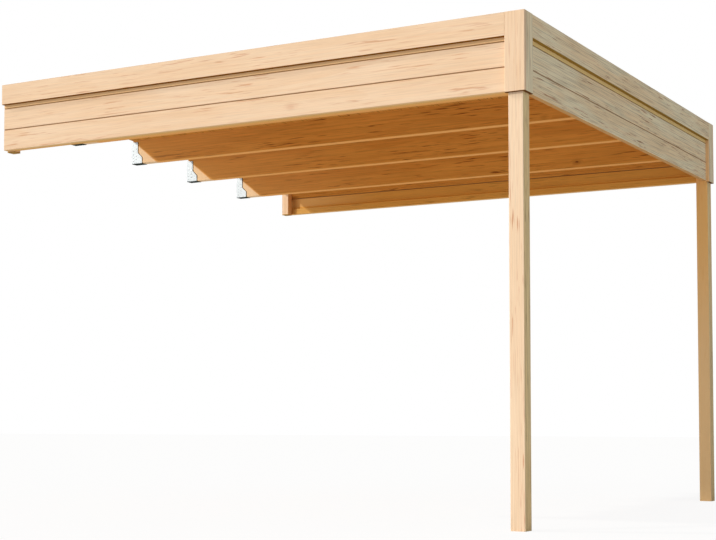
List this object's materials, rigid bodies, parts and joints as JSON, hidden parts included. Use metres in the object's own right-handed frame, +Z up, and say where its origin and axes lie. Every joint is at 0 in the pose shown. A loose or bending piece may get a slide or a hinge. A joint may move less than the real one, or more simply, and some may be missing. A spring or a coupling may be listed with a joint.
{
  "type": "lean-to roof extension",
  "caption": "Open flat-roofed timber lean-to on square posts, with a boarded fascia on its free sides and joists hung from a wall in steel hangers.",
  "frame": {"origin": "middle of the wall face of the front wall batten, where the roof meets the house wall", "axes": "+X from the wall along the joists to the posts, +Y from the front fascia to the rear fascia, towards which the roof falls, +Z up"},
  "size_m": [3, 2.972, 2.26],
  "materials": {
    "post_pine": "planed, untreated",
    "fascia_pine": "planed, untreated",
    "frame_pine": "planed, untreated",
    "galvanised_steel": "hot-dip galvanised sheet",
    "roofing_felt": "slated mineral felt",
    "zinc": "dull zinc"
  },
  "bodies": {
    "root": {"front_post": "post_pine", "rear_post": "post_pine", "front_lower_board": "fascia_pine", "front_middle_board": "fascia_pine", "front_upper_board": "fascia_pine", "front_top_board": "fascia_pine", "side_lower_board": "fascia_pine", "side_middle_board": "fascia_pine", "side_upper_board": "fascia_pine", "side_top_board": "fascia_pine", "rear_lower_board": "fascia_pine", "rear_middle_board": "fascia_pine", "rear_upper_board": "fascia_pine", "rear_top_board": "fascia_pine", "front_corner_board": "fascia_pine", "side_front_corner_board": "fascia_pine", "side_rear_corner_board": "fascia_pine", "rear_corner_board": "fascia_pine", "front_wall_batten": "frame_pine", "rear_wall_batten": "frame_pine", "front_bottom_lath": "frame_pine", "rear_bottom_lath": "frame_pine", "front_deck_lath": "frame_pine", "rear_deck_lath": "frame_pine", "edge_beam": "frame_pine", "joist_1": "frame_pine", "joist_2": "frame_pine", "joist_3": "frame_pine", "joist_4": "frame_pine", "roof_deck": "frame_pine", "wall_hanger_1": "galvanised_steel", "wall_hanger_2": "galvanised_steel", "wall_hanger_3": "galvanised_steel", "wall_hanger_4": "galvanised_steel", "roof_felt": "roofing_felt", "rain_spout": "zinc"}
  },
  "joints": []
}
